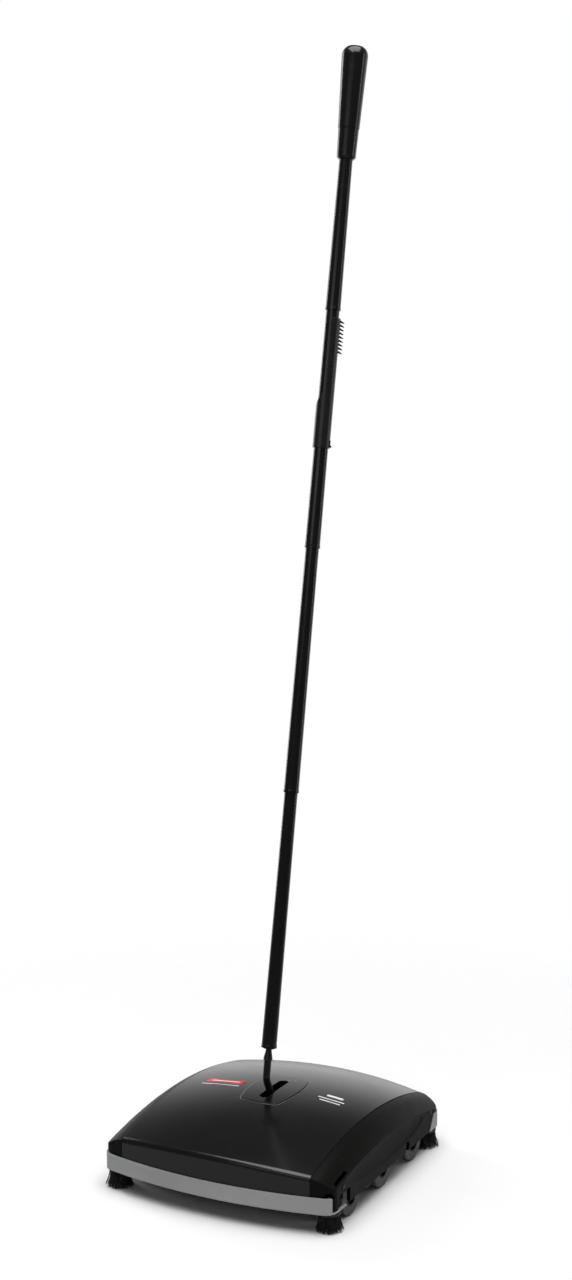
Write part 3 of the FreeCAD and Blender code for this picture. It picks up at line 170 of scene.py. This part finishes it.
def make_floor():
    """A pale round floor that fades out at its rim and is darker in reflections."""
    rings = (0.2, 0.4, 0.6, 0.8, 1.0)
    sides = 96
    points = [(0.0, 0.0, 0.0)]
    faces = []
    for number, radius in enumerate(rings):
        for step in range(sides):
            turn = 2 * math.pi * step / sides
            points.append((radius * math.cos(turn), radius * math.sin(turn), 0.0))
            following = (step + 1) % sides
            outer = 1 + number * sides
            if number == 0:
                faces.append((0, outer + step, outer + following))
            else:
                inner = outer - sides
                faces.append((inner + step, outer + step, outer + following, inner + following))
    floor = mesh_piece("studio_floor", points, faces)
    material = bpy.data.materials.new("studio_floor")
    material.use_nodes = True
    n = Nodes(material.node_tree)
    place = n.object_place()
    distance = n.add("ShaderNodeVectorMath", {0: place}, operation="LENGTH").outputs["Value"]
    mirrored = n.add("ShaderNodeLightPath").outputs["Is Glossy Ray"]
    # Painted shade in reflections: to glossy rays the floor colour drops to 0.4 of itself, so it
    # reflects darker than it looks.
    cloud_and_reflection_shade = n.math("MULTIPLY", n.ranged(n.noise(place, 3.0), 0.3, 0.7, 0.93, 0.95),
                   n.ranged(mirrored, 0.0, 1.0, 1.0, 0.4))
    surface = n.add("ShaderNodeBsdfPrincipled", {"Base Color": cloud_and_reflection_shade, "Roughness": 0.7})
    clear = n.add("ShaderNodeBsdfTransparent")
    fade = n.ranged(distance, 0.24, 0.85, 0.0, 1.0, True)
    mixed = n.add("ShaderNodeMixShader", {0: fade, 1: surface.outputs[0], 2: clear.outputs[0]})
    n.add("ShaderNodeOutputMaterial", {"Surface": mixed.outputs[0]})
    floor.data.materials.append(material)


# ------------------------------------------------------------------ materials

SPECK_SCALE = 420.0
DUST_COLOUR = (0.35, 0.34, 0.32, 1.0)
# Colours are linear.  The meaning of each value is under surface().
LIGHT_GREY_WEAR = (0.09, 0.09, 0.088)
STEEL_WEAR = (0.75, 0.75, 0.72)
LOOKS = {
    "cover_gloss": dict(
        colour=(0.0045, 0.0046, 0.0048), rough=0.2, mottle=(6.0, 0.15), rough_spread=0.025,
        grain=(1600.0, 0.0012), orange_peel=(170.0, 0.004),
        edge_wear_and_highlight=(0.5, LIGHT_GREY_WEAR, 0.12), dust=0.25),
    "cap_satin": dict(
        colour=(0.0034, 0.0034, 0.0031), rough=0.42, mottle=(11.0, 0.2), rough_spread=0.05,
        grain=(1300.0, 0.008), edge_wear_and_highlight=(0.6, LIGHT_GREY_WEAR, 0.12), dust=0.3, specular=0.1),
    "bumper_grey": dict(
        colour=(0.32, 0.323, 0.323), rough=0.55, mottle=(14.0, 0.06),
        grain=(1500.0, 0.012), edge_wear_and_highlight=(0.5, (0.36, 0.36, 0.36), 0.3)),
    "frame_black": dict(
        colour=(0.012, 0.012, 0.012), rough=0.45, mottle=(12.0, 0.2), grain=(1200.0, 0.01),
        edge_wear_and_highlight=(0.5, LIGHT_GREY_WEAR, 0.2)),
    "screw_steel": dict(
        colour=(0.5, 0.5, 0.48), rough=0.3, mottle=(40.0, 0.15), rough_spread=0.08,
        grain=(700.0, 0.006), edge_wear_and_highlight=(0.25, STEEL_WEAR, 0.5),
        scratches=((1.0, 9.0, 9.0), 0.004), metallic=1.0),
    "spring_steel": dict(
        colour=(0.42, 0.42, 0.41), rough=0.28, mottle=(60.0, 0.15), grain=(900.0, 0.004),
        metallic=1.0),
    "bush_white": dict(
        colour=(0.72, 0.7, 0.64), rough=0.4, mottle=(30.0, 0.08), rough_spread=0.05,
        grain=(1200.0, 0.006)),
    "rotor_core": dict(
        colour=(0.03, 0.03, 0.03), rough=0.42, mottle=(20.0, 0.2), grain=(1000.0, 0.01)),
    "rotor_bristle": dict(
        colour=(0.014, 0.014, 0.015), rough=0.38, mottle=(90.0, 0.4), rough_spread=0.1,
        grain=(600.0, 0.01)),
    "rotor_blade": dict(
        colour=(0.022, 0.022, 0.022), rough=0.5, mottle=(20.0, 0.25), rough_spread=0.08,
        grain=(800.0, 0.02)),
    "pulley_rubber": dict(
        colour=(0.04, 0.04, 0.04), rough=0.6, mottle=(30.0, 0.3), rough_spread=0.08,
        grain=(700.0, 0.03)),
    "pan_black": dict(
        colour=(0.013, 0.013, 0.013), rough=0.4, mottle=(14.0, 0.25), rough_spread=0.07,
        grain=(1100.0, 0.01), edge_wear_and_highlight=(0.4, LIGHT_GREY_WEAR, 0.25),
        scratches=((1.0, 14.0, 14.0), 0.005), dust=0.2),
    "hub_black": dict(
        colour=(0.004, 0.004, 0.004), rough=0.4, mottle=(30.0, 0.2), rough_spread=0.05,
        grain=(1200.0, 0.006), edge_wear_and_highlight=(0.3, LIGHT_GREY_WEAR, 0.14), specular=0.25),
    "tyre_grey": dict(
        colour=(0.085, 0.085, 0.086), rough=0.55, mottle=(35.0, 0.2), rough_spread=0.07,
        grain=(900.0, 0.03), edge_wear_and_highlight=(0.5, (0.16, 0.16, 0.16), 0.35), dust=0.4),
    "brush_hub": dict(
        colour=(0.012, 0.012, 0.012), rough=0.4, mottle=(30.0, 0.2), rough_spread=0.05,
        grain=(1100.0, 0.008)),
    "corner_bristle": dict(
        colour=(0.007, 0.007, 0.0075), rough=0.36, mottle=(160.0, 0.4), rough_spread=0.1,
        grain=(600.0, 0.01)),
    "rod_black": dict(
        colour=(0.006, 0.006, 0.006), rough=0.24, mottle=(30.0, 0.2), rough_spread=0.05,
        grain=(900.0, 0.004), orange_peel=(260.0, 0.006),
        edge_wear_and_highlight=(0.3, LIGHT_GREY_WEAR, 0.15)),
    "tube_black": dict(
        colour=(0.0045, 0.0045, 0.0048), rough=0.2, mottle=(18.0, 0.2), rough_spread=0.03,
        grain=(1500.0, 0.001), orange_peel=(150.0, 0.004),
        edge_wear_and_highlight=(0.3, LIGHT_GREY_WEAR, 0.2), scratches=((9.0, 9.0, 1.0), 0.0015), dust=0.2),
    "plug_black": dict(
        colour=(0.01, 0.01, 0.01), rough=0.4, mottle=(30.0, 0.2), rough_spread=0.05,
        grain=(1000.0, 0.006)),
    "grip_gloss": dict(
        colour=(0.005, 0.005, 0.005), rough=0.2, mottle=(25.0, 0.2), rough_spread=0.04,
        grain=(1400.0, 0.002), orange_peel=(220.0, 0.006),
        edge_wear_and_highlight=(0.4, LIGHT_GREY_WEAR, 0.12), dust=0.2),
    "comb_black": dict(
        colour=(0.009, 0.009, 0.009), rough=0.3, mottle=(30.0, 0.2), rough_spread=0.05,
        grain=(1300.0, 0.004), edge_wear_and_highlight=(0.3, LIGHT_GREY_WEAR, 0.2)),
    "label_red": dict(
        colour=(0.55, 0.024, 0.03), rough=0.4, mottle=(60.0, 0.1), rough_spread=0.05,
        grain=(1500.0, 0.002)),
    "label_white": dict(
        colour=(0.8, 0.8, 0.8), rough=0.45, mottle=(60.0, 0.05), rough_spread=0.05,
        grain=(1500.0, 0.002)),
    "pin_dark": dict(
        colour=(0.03, 0.03, 0.03), rough=0.35, mottle=(60.0, 0.2), grain=(900.0, 0.004),
        edge_wear_and_highlight=(0.15, STEEL_WEAR, 0.4), metallic=0.6),
    "rosette_grey": dict(
        colour=(0.22, 0.22, 0.22), rough=0.35, mottle=(60.0, 0.1), rough_spread=0.05,
        grain=(1500.0, 0.002)),
    "plate_gloss": dict(
        colour=(0.0042, 0.0043, 0.0046), rough=0.19, mottle=(9.0, 0.15), rough_spread=0.03,
        grain=(1600.0, 0.0012), orange_peel=(170.0, 0.004),
        # Painted highlight: the bright edge colour at a high share paints the light caught along
        # the plate edges.
        edge_wear_and_highlight=(0.45, (0.3, 0.3, 0.3), 0.75), dust=0.2),
}


def surface(name, colour, rough, mottle, grain, rough_spread=0.06, orange_peel=None, edge_wear_and_highlight=None,
            scratches=None, dust=0.0, metallic=0.0, specular=0.5):
    """A procedural surface.

    rough is the middle roughness, and rough_spread how far it strays; mottle is (scale, share)
    of slow colour change; grain and orange_peel are (scale, depth in mm) of the bump; the edge
    argument is (edge radius in mm, colour, share) of pale edges, which are rubbed wear on most
    surfaces and a painted highlight on the slot plates; scratches is (stretch, depth in mm) of
    fine lines; dust is the share of pale specks.
    """
    material = bpy.data.materials.new(name)
    material.use_nodes = True
    n = Nodes(material.node_tree)
    place = n.object_place()
    slow = n.noise(place, mottle[0], 4.0, 0.6)
    dark = tuple(c * (1 - mottle[1]) for c in colour) + (1.0,)
    light = tuple(c * (1 + mottle[1]) for c in colour) + (1.0,)
    tone = n.mix(n.ranged(slow, 0.3, 0.7), dark, light)
    fine = n.noise(place, grain[0], 2.0, 0.6)
    grained = {"Height": fine, "Distance": grain[1] * MM, "Strength": 1.0}
    shine = n.ranged(n.noise(place, mottle[0] * 5.0, 5.0, 0.65), 0.3, 0.7,
                     rough - rough_spread, rough + rough_spread)
    if dust:
        specks = n.add("ShaderNodeTexVoronoi", {"Vector": place, "Scale": SPECK_SCALE},
                       feature="F1")
        near = n.ranged(specks.outputs["Distance"], 0.06, 0.12, 1.0, 0.0)
        chosen = n.math("GREATER_THAN", n.noise(place, 60.0), 0.62)
        settled = n.math("MULTIPLY", n.math("MULTIPLY", near, chosen), dust)
        tone = n.mix(settled, tone, DUST_COLOUR)
    # Paler edges found by the bevel: rubbed wear on most surfaces, and a painted highlight on the
    # slot plates.
    if edge_wear_and_highlight:
        bevel = n.add("ShaderNodeBevel", {"Radius": edge_wear_and_highlight[0] * MM}, samples=3)
        flat = n.add("ShaderNodeNewGeometry").outputs["Normal"]
        facing = n.add("ShaderNodeVectorMath", {0: bevel.outputs[0], 1: flat},
                       operation="DOT_PRODUCT").outputs["Value"]
        edge = n.ranged(facing, 0.999, 0.88)
        broken = n.ranged(n.noise(place, 140.0, 4.0, 0.7), 0.38, 0.62)
        rubbed_and_highlit_edge = n.math("MULTIPLY", n.math("MULTIPLY", edge, broken), edge_wear_and_highlight[2])
        tone = n.mix(rubbed_and_highlit_edge, tone, tuple(edge_wear_and_highlight[1]) + (1.0,))
        shine = n.math("ADD", shine, n.math("MULTIPLY", rubbed_and_highlit_edge, 0.12))
        grained["Normal"] = bevel.outputs[0]
    bump = n.add("ShaderNodeBump", grained)
    if orange_peel:
        wavy = n.noise(place, orange_peel[0], 2.0, 0.4)
        bump = n.add("ShaderNodeBump", {"Height": wavy, "Distance": orange_peel[1] * MM,
                                        "Normal": bump.outputs[0]})
    if scratches:
        lines = n.noise(n.object_place(scratches[0]), 60.0, 6.0, 0.75)
        marks = n.ranged(lines, 0.6, 0.68)
        bump = n.add("ShaderNodeBump", {"Height": marks, "Distance": scratches[1] * MM,
                                        "Normal": bump.outputs[0]})
        shine = n.math("ADD", shine, n.math("MULTIPLY", marks, 0.08))
    shader = n.add("ShaderNodeBsdfPrincipled", {
        "Base Color": tone, "Roughness": shine, "Normal": bump.outputs[0], "Metallic": metallic,
        "Specular IOR Level": specular})
    n.add("ShaderNodeOutputMaterial", {"Surface": shader.outputs[0]})
    return material


def make_materials():
    return {name: surface(name, **look) for name, look in LOOKS.items()}


# ------------------------------------------------------------------ pieces

def mesh_piece(name, points, faces, smooth=False):
    mesh = bpy.data.meshes.new(name)
    mesh.from_pydata(points, [], faces)
    mesh.update()
    if smooth:
        mesh.shade_smooth()
    piece = bpy.data.objects.new(name, mesh)
    scene.collection.objects.link(piece)
    return piece


def finish_piece(piece, body, slot, material, *replaced):
    piece.data.materials.append(material)
    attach(piece, body)
    if replaced:
        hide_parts(*replaced)


class Strands:
    """Collects thin tapered fibres into one mesh."""

    def __init__(self, sides):
        self.sides = sides
        self.points = []
        self.faces = []

    def add(self, line, radius, tip):
        """A fibre along a list of points, from its radius to its tip's radius."""
        sides = self.sides
        start = len(self.points)
        last = len(line) - 1
        for number, point in enumerate(line):
            ahead = line[min(number + 1, last)] - line[max(number - 1, 0)]
            turn = ahead.to_track_quat("Z", "X").to_matrix()
            size = radius + (tip - radius) * number / last
            for side in range(sides):
                angle = 2 * math.pi * side / sides
                offset = Vector((size * math.cos(angle), size * math.sin(angle), 0.0))
                self.points.append(point + turn @ offset)
        for number in range(last):
            low = start + number * sides
            for side in range(sides):
                following = (side + 1) % sides
                self.faces.append((low + side, low + following, low + sides + following,
                                   low + sides + side))
        self.faces.append(tuple(start + side for side in reversed(range(sides))))
        self.faces.append(tuple(start + last * sides + side for side in range(sides)))

    def piece(self, name):
        return mesh_piece(name, self.points, self.faces, True)


def make_corner_bristles(end, side, draw):
    """A round tuft of coarse bristles that flares to the floor, with a few strays."""
    count = 340
    stray_share = 0.07
    root_inner, root_outer = 4.8, 10.3
    thick, thin = 0.34 * MM, 0.2 * MM
    node = f"corner_bristles_{end}_{side}"
    low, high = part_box(node)
    centre = (low + high) / 2
    root_height = high.z
    strands = Strands(4)
    for _ in range(count):
        turn = draw.uniform(0, 2 * math.pi)
        root = draw.uniform(root_inner, root_outer) * MM
        clump = 0.5 * math.sin(turn * 9 + 1.3) * MM
        stray = draw.random() < stray_share
        reach = root + (draw.uniform(0.6, 3.0) + 0.35 * (root / MM - root_inner)) * MM + clump
        foot = draw.uniform(0.35, 0.9) * MM
        if stray:
            reach = root + draw.uniform(3.0, 6.5) * MM
            foot = draw.uniform(0.6, 5.0) * MM
        sway = draw.uniform(-0.16, 0.16)
        line = []
        for step in range(5):
            share = step / 4
            radius = root + (reach - root) * share ** 1.7
            angle = turn + sway * share * share
            line.append(Vector((centre.x + radius * math.cos(angle),
                                centre.y + radius * math.sin(angle),
                                root_height + (foot - root_height) * share)))
        strands.add(line, thick, thin)
    body = f"corner_brush_{end}_{side}"
    finish_piece(strands.piece(f"corner_tuft_{end}_{side}"), body, "corner_bristle",
                 materials["corner_bristle"], node)


def make_rotor_bristles(draw):
    """Four rows of tufts along the front rotor."""
    low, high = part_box("front_rotor_bristles")
    axis = (low + high) / 2
    tip = (high.y - low.y) / 2
    half = high.x
    core = 8.5 * MM
    end_margin = 2 * MM
    thick, thin = 0.2 * MM, 0.13 * MM
    rows, tufts, fibres = 4, 44, 13
    strands = Strands(3)
    for row in range(rows):
        for number in range(tufts):
            middle = -half + end_margin + 2 * (half - end_margin) * number / (tufts - 1)
            lean = (0.9 if number % 2 else -0.9) * MM
            for _ in range(fibres):
                across = lean + draw.uniform(-0.7, 0.7) * MM
                along = middle + draw.uniform(-0.8, 0.8) * MM
                spread = (draw.uniform(-1.6, 1.6) * MM, draw.uniform(-0.9, 0.9) * MM)
                length = tip - draw.uniform(0.0, 0.7) * MM
                turn = Matrix.Rotation(2 * math.pi * row / rows, 3, "X")
                line = []
                for step in range(3):
                    share = step / 2
                    out = core + (length - core) * share
                    bent = share * share
                    line.append(axis + turn @ Vector((along + spread[0] * bent,
                                                      across + spread[1] * bent, out)))
                strands.add(line, thick, thin)
    finish_piece(strands.piece("front_rotor_tufts"), "front_rotor", "rotor_bristle",
                 materials["rotor_bristle"], "front_rotor_bristles")


DROP_HEIGHT = 0.2
SUNK = -0.05


def surface_tree(*names):
    """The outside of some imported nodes, ready for dropping points onto it."""
    points = []
    faces = []
    for name in names:
        mesh = nodes[name].data
        start = len(points)
        points += [v.co.copy() for v in mesh.vertices]
        faces += [[start + number for number in p.vertices] for p in mesh.polygons]
    return BVHTree.FromPolygons(points, faces)


def laid(tree, x, y, height):
    """The point of a surface under (x, y), lifted off it by a height in mm."""
    place, normal, _, _ = tree.ray_cast(Vector((x, y, DROP_HEIGHT)), Vector((0, 0, -1)))
    return place + normal * height * MM


def rounded_rectangle(width, depth, radius):
    """Outline points of a rectangle with round corners, anticlockwise, about its middle."""
    steps = 6
    points = []
    for corner, (sx, sy) in enumerate(((1, 1), (-1, 1), (-1, -1), (1, -1))):
        for step in range(steps + 1):
            angle = math.pi / 2 * (corner + step / steps)
            points.append((sx * (width / 2 - radius) + radius * math.cos(angle),
                           sy * (depth / 2 - radius) + radius * math.sin(angle)))
    return points


def make_mark(name, tree, centre, size, corner, material, lift=0.14):
    """A thin printed panel laid on a surface, filled by rings that shrink to its middle."""
    outline = rounded_rectangle(size[0], size[1], corner)
    rings = 6
    rim_sunk = -0.04
    points = []
    faces = []
    count = len(outline)
    rows = [(1.0, rim_sunk)] + [(1 - number / rings, lift) for number in range(rings)]
    for scale, height in rows:
        points += [laid(tree, (centre[0] + x * scale) * MM, (centre[1] + y * scale) * MM, height)
                   for x, y in outline]
    for row in range(len(rows) - 1):
        for number in range(count):
            following = (number + 1) % count
            base = row * count
            faces.append((base + number, base + following, base + count + following,
                          base + count + number))
    faces.append(tuple((len(rows) - 1) * count + number for number in range(count)))
    piece = mesh_piece(name, points, faces, True)
    finish_piece(piece, "head", "cover_gloss", material)


def make_marks():
    """Plain printed marks on the cover: a red panel with one bar, and four pale bars."""
    tree = surface_tree("top_cover")
    white = materials["label_white"]
    make_mark("mark_red_panel", tree, (-57.0, 0.2), (42.5, 11.5), 1.6, materials["label_red"])
    make_mark("mark_panel_bar", tree, (-57.0, 0.2), (32.0, 2.2), 1.0, white, 0.3)
    make_mark("mark_under_bar", tree, (-58.5, -9.6), (43.0, 1.5), 0.7, white)
    make_mark("mark_wide_bar", tree, (61.0, 12.5), (18.5, 4.2), 1.9, white)
    make_mark("mark_middle_bar", tree, (60.5, 4.2), (29.0, 1.9), 0.9, white)
    make_mark("mark_lower_bar", tree, (61.5, -1.6), (23.0, 1.9), 0.9, white)


def plate_outline():
    """Evenly spaced points round the two slot plates in plan, each with its outward direction."""
    count = 120
    flat = [v.co.to_2d() for side in ("right", "left")
            for v in nodes[f"slot_plate_{side}"].data.vertices]
    hull = [flat[number] for number in convex_hull_2d(flat)]
    steps = [(b - a).length for a, b in zip(hull, hull[1:] + hull[:1])]
    middle = sum(hull, Vector((0.0, 0.0))) / len(hull)
    points = []
    for number in range(count):
        left = sum(steps) * number / count
        corner = 0
        while left > steps[corner]:
            left -= steps[corner]
            corner += 1
        ahead = hull[(corner + 1) % len(hull)] - hull[corner]
        points.append(hull[corner] + ahead * (left / steps[corner]))
    outline = []
    for number, point in enumerate(points):
        along = points[(number + 2) % count] - points[number - 2]
        outward = Vector((along.y, -along.x)).normalized()
        outline.append((point, outward if outward.dot(point - middle) > 0 else -outward))
    return outline


def make_plate_outline():
    """A fine dark strip of painted groove shade and a bright strip of painted rim highlight round
    the edge of the two slot plates.
    """
    tree = surface_tree("top_cover")
    outline = plate_outline()
    count = len(outline)
    # The first strip is painted shade for the dark seam groove, the second a painted highlight for
    # the bright rim.
    for name, start_out, width, lift, material in (("plate_groove_painted_shade", 0.1, 0.8, 0.05, "pin_dark"),
                                                   ("plate_rim_painted_highlight", 0.9, 0.45, 0.18, "rosette_grey")):
        rows = ((start_out, SUNK), (start_out, lift), (start_out + width, lift),
                (start_out + width, SUNK))
        points = []
        faces = []
        for out, height in rows:
            for point, outward in outline:
                place = point + outward * out * MM
                points.append(laid(tree, place.x, place.y, height))
        for row in range(len(rows)):
            following_row = (row + 1) % len(rows)
            for number in range(count):
                following = (number + 1) % count
                faces.append((row * count + number, following_row * count + number,
                              following_row * count + following, row * count + following))
        finish_piece(mesh_piece(name, points, faces, True), "head", "cover_gloss",
                     materials[material])


def make_rosette():
    """A small four-petal moulding on the plate beside the rear end of the handle slot."""
    tree = surface_tree("slot_plate_right", "top_cover")
    centre = (6.2, 25.0)
    petals = 4
    petal_reach = 2.1
    make_mark("plate_rosette_disc", tree, centre, (7.4, 7.4), 3.6, materials["rosette_grey"], 0.12)
    for number in range(petals):
        angle = 2 * math.pi * number / petals
        make_mark(f"plate_rosette_petal_{number}", tree,
                  (centre[0] + petal_reach * math.cos(angle),
                   centre[1] + petal_reach * math.sin(angle)),
                  (2.2, 2.2), 1.08, materials["rod_black"], 0.4)


make_camera()
make_world()
materials = make_materials()
for node in nodes.values():
    for slot in node.material_slots:
        slot.material = materials[slot.material.name.split(".")[0]]
for plate_side in ("right", "left"):
    nodes[f"slot_plate_{plate_side}"].material_slots[0].material = materials["plate_gloss"]
for pan_end in ("front", "rear"):
    nodes[f"{pan_end}_pan_pins"].material_slots[0].material = materials["pin_dark"]
make_floor()
area_light("overhead_box", (0.2, -0.3, 2.9), (0.0, 0.0, 0.0), (2.6, 2.6), 95.0)
area_light("left_strip", (-2.3, 0.75, 0.9), (0.0, 0.0, 0.6), (0.45, 2.2), 16.0)
area_light("right_strip", (2.3, 1.1, 0.9), (0.0, 0.0, 0.6), (0.3, 2.0), 5.0)
area_light("front_box", (0.0, -3.0, 1.7), (0.0, 0.0, 0.1), (2.2, 0.8), 5.0)

draws = random.Random(11)
for brush_end in ("front", "rear"):
    for brush_side in ("right", "left"):
        make_corner_bristles(brush_end, brush_side, draws)
make_rotor_bristles(draws)
make_marks()
make_plate_outline()
make_rosette()

scene.view_settings.view_transform = "Standard"
